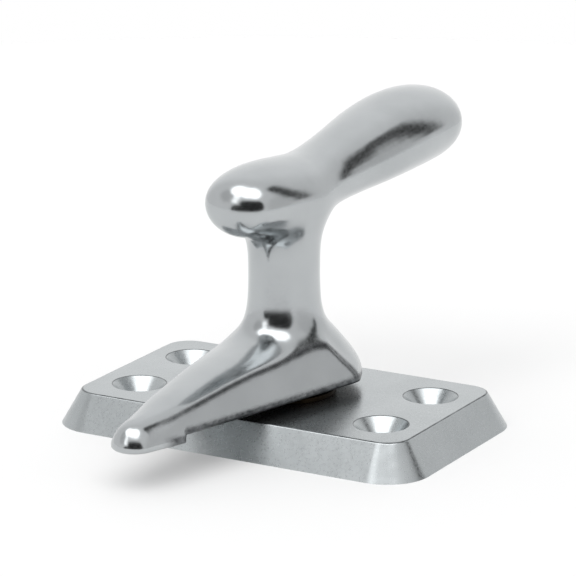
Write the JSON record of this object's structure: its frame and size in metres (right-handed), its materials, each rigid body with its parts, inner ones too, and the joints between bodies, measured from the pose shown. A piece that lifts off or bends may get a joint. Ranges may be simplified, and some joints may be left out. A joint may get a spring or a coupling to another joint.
{
  "type": "cockspur window handle",
  "caption": "Cast window handle with a pear-shaped grip, oval neck and hooking spur, turning on a flat countersunk base plate with sloping sides.",
  "frame": {"origin": "pivot axis of the handle at the plate's back face, which is also the centre of the fixing holes", "axes": "+Z out of the window frame along the pivot, +X along the plate, -Y the side that the spur hooks over"},
  "size_m": [0.0622, 0.0843, 0.0466],
  "materials": {
    "plated_plate": "nickel-chrome plate over a casting, buffed but not mirror bright",
    "plated_handle": "nickel-chrome plate over a casting, buffed but not mirror bright",
    "bronze_bush": "machined bronze",
    "acetal_washer": "moulded dark acetal",
    "spring_steel": "oiled spring steel",
    "zinc_steel": "zinc-plated steel",
    "spindle_steel": "turned bright steel, peened end"
  },
  "bodies": {
    "base": {"base_plate": "plated_plate", "pivot_bush": "bronze_bush", "back_washer": "zinc_steel", "wave_spring": "spring_steel"},
    "handle": {"handle_casting": "plated_handle", "pivot_spindle": "spindle_steel", "thrust_washer": "acetal_washer", "keyed_washer": "zinc_steel"}
  },
  "joints": [
    {"name": "handle_turn", "type": "hinge", "parent": "base", "child": "handle", "pos_m": [0, 0, 0], "axis": [0, 0, 1], "continuous": true}
  ]
}
